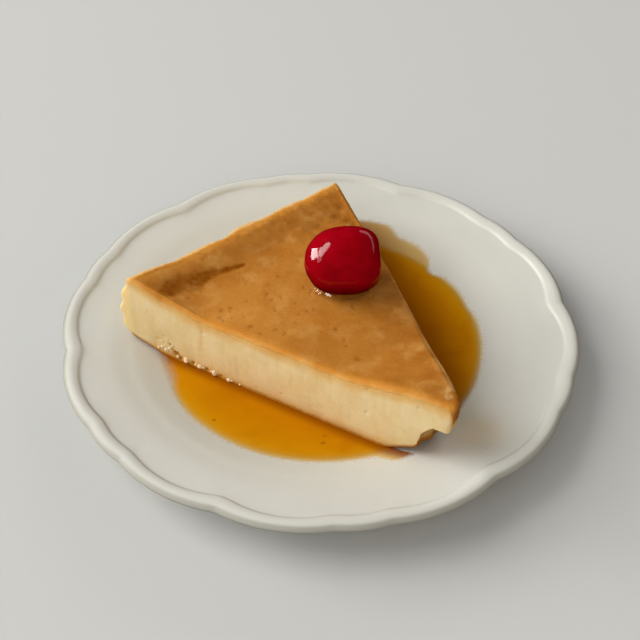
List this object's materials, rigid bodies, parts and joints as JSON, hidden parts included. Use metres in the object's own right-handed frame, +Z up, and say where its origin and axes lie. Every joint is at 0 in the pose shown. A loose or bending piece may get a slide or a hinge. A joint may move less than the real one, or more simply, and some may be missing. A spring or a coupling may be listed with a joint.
{
  "type": "creme caramel flan",
  "caption": "Wedge of set custard flan with caramel top and cherry, in pools of caramel sauce on a scalloped ceramic side plate.",
  "frame": {"origin": "centre of the plate's foot on the table", "axes": "+Z up, +X to the right and -Y towards the person who faces the slice's long cut side"},
  "size_m": [0.1698, 0.1694, 0.0505],
  "materials": {
    "glaze": "warm white glazed ceramic, soft gloss",
    "custard": "pale yellow set custard, moist satin, slightly translucent",
    "caramel": "brown caramel-stained custard, wet satin",
    "cherry": "deep red candied cherry, high gloss, translucent",
    "sauce": "clear amber caramel syrup, wet gloss"
  },
  "bodies": {
    "root": {"plate": "glaze", "custard": "custard", "caramel_top": "caramel", "cherry": "cherry", "sauce_front": "sauce", "sauce_right": "sauce", "sauce_back": "sauce"}
  },
  "joints": []
}
